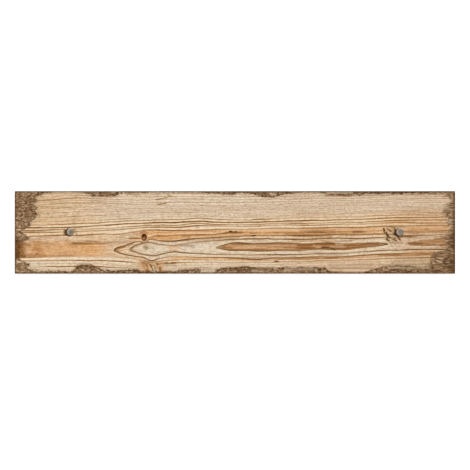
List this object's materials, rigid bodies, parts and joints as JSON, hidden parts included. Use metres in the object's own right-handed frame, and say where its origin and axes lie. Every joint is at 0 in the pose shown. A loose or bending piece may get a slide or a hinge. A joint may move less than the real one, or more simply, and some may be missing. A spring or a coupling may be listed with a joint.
{
  "type": "wood look porcelain plank tile",
  "caption": "Flat rectangular glazed floor plank with a weathered wood-grain face, finely beveled edges and a back pressed with shallow pockets for adhesive.",
  "frame": {"origin": "middle of the back, on the plane of the rib tops that the plank lies on", "axes": "+X along the plank and its printed grain, +Y across it, +Z out of the glazed face"},
  "size_m": [0.8, 0.15, 0.0095],
  "materials": {
    "glazed_porcelain": "matte glaze with a printed weathered wood grain, on an unglazed beige porcelain body"
  },
  "bodies": {
    "root": {"porcelain_plank": "glazed_porcelain"}
  },
  "joints": []
}
